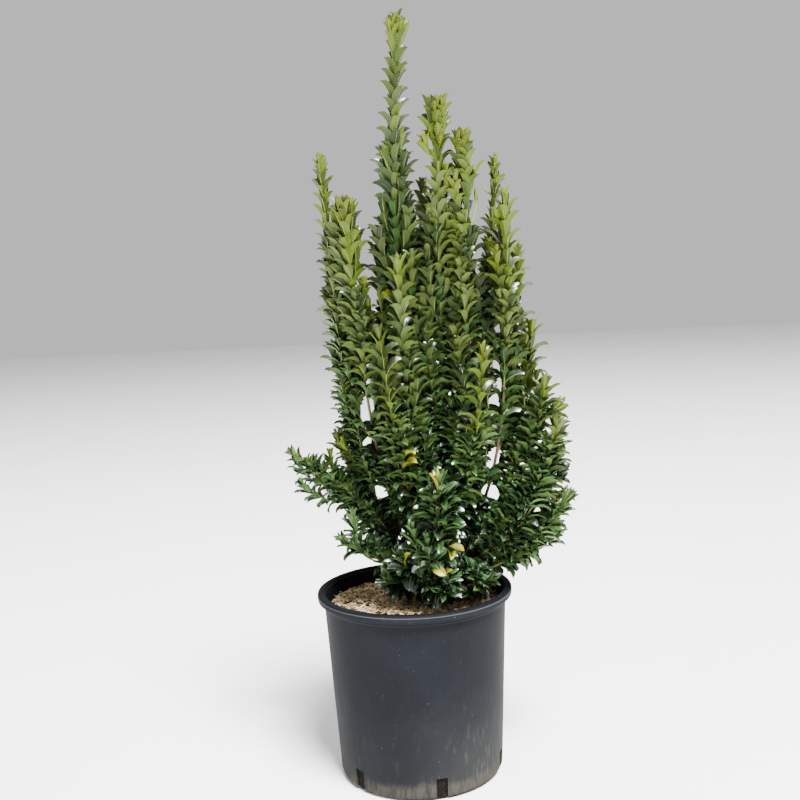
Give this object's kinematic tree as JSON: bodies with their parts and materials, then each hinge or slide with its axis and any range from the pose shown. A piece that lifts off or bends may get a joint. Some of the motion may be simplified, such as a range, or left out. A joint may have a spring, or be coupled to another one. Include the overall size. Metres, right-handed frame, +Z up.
{
  "type": "potted japanese spindle",
  "caption": "Upright evergreen shrub of leafy spires with small glossy opposite leaves, in a round black plastic nursery pot topped with bark mulch.",
  "frame": {"origin": "centre of the pot's flat underside", "axes": "+Z up along the pot's axis, +X to the viewer's right, -Y towards the front of the plant"},
  "size_m": [0.3695, 0.2605, 0.9539],
  "materials": {
    "pot": "matte charcoal plastic, dusty near the foot",
    "soil": "dry bark chips",
    "bark": "rough bark",
    "foliage": "glossy leaves, yellow-green at the tips"
  },
  "bodies": {
    "root": {"bough_flank_back_right": "bark", "bough_flank_right": "bark", "bough_flank_right_front": "bark", "bough_flank_right_top": "bark", "bough_low_back": "bark", "bough_low_back_left": "bark", "bough_low_front": "bark", "bough_low_left": "bark", "bough_low_left_front": "bark", "bough_low_right": "bark", "bough_low_right_front": "bark", "bough_spire_back": "bark", "bough_spire_back_left": "bark", "bough_spire_back_right": "bark", "bough_spire_front": "bark", "bough_spire_left": "bark", "bough_spire_left_front": "bark", "bough_spire_mid": "bark", "bough_spire_mid_back": "bark", "bough_spire_mid_right": "bark", "bough_spire_right": "bark", "bough_spire_right_back": "bark", "bough_spire_right_outer": "bark", "bough_spray_front_left": "bark", "bough_spray_front_right": "bark", "foliage_flank_back_right": "foliage", "foliage_flank_right": "foliage", "foliage_flank_right_front": "foliage", "foliage_flank_right_top": "foliage", "foliage_foot_back": "foliage", "foliage_foot_back_left": "foliage", "foliage_foot_back_right": "foliage", "foliage_foot_front": "foliage", "foliage_foot_front_left": "foliage", "foliage_foot_front_right": "foliage", "foliage_low_back": "foliage", "foliage_low_back_left": "foliage", "foliage_low_front": "foliage", "foliage_low_left": "foliage", "foliage_low_left_front": "foliage", "foliage_low_right": "foliage", "foliage_low_right_front": "foliage", "foliage_spire_back": "foliage", "foliage_spire_back_left": "foliage", "foliage_spire_back_right": "foliage", "foliage_spire_centre": "foliage", "foliage_spire_front": "foliage", "foliage_spire_left": "foliage", "foliage_spire_left_front": "foliage", "foliage_spire_mid": "foliage", "foliage_spire_mid_back": "foliage", "foliage_spire_mid_right": "foliage", "foliage_spire_right": "foliage", "foliage_spire_right_back": "foliage", "foliage_spire_right_outer": "foliage", "foliage_spray_front_left": "foliage", "foliage_spray_front_right": "foliage", "pot": "pot", "soil": "soil", "trunk": "bark"}
  },
  "joints": []
}
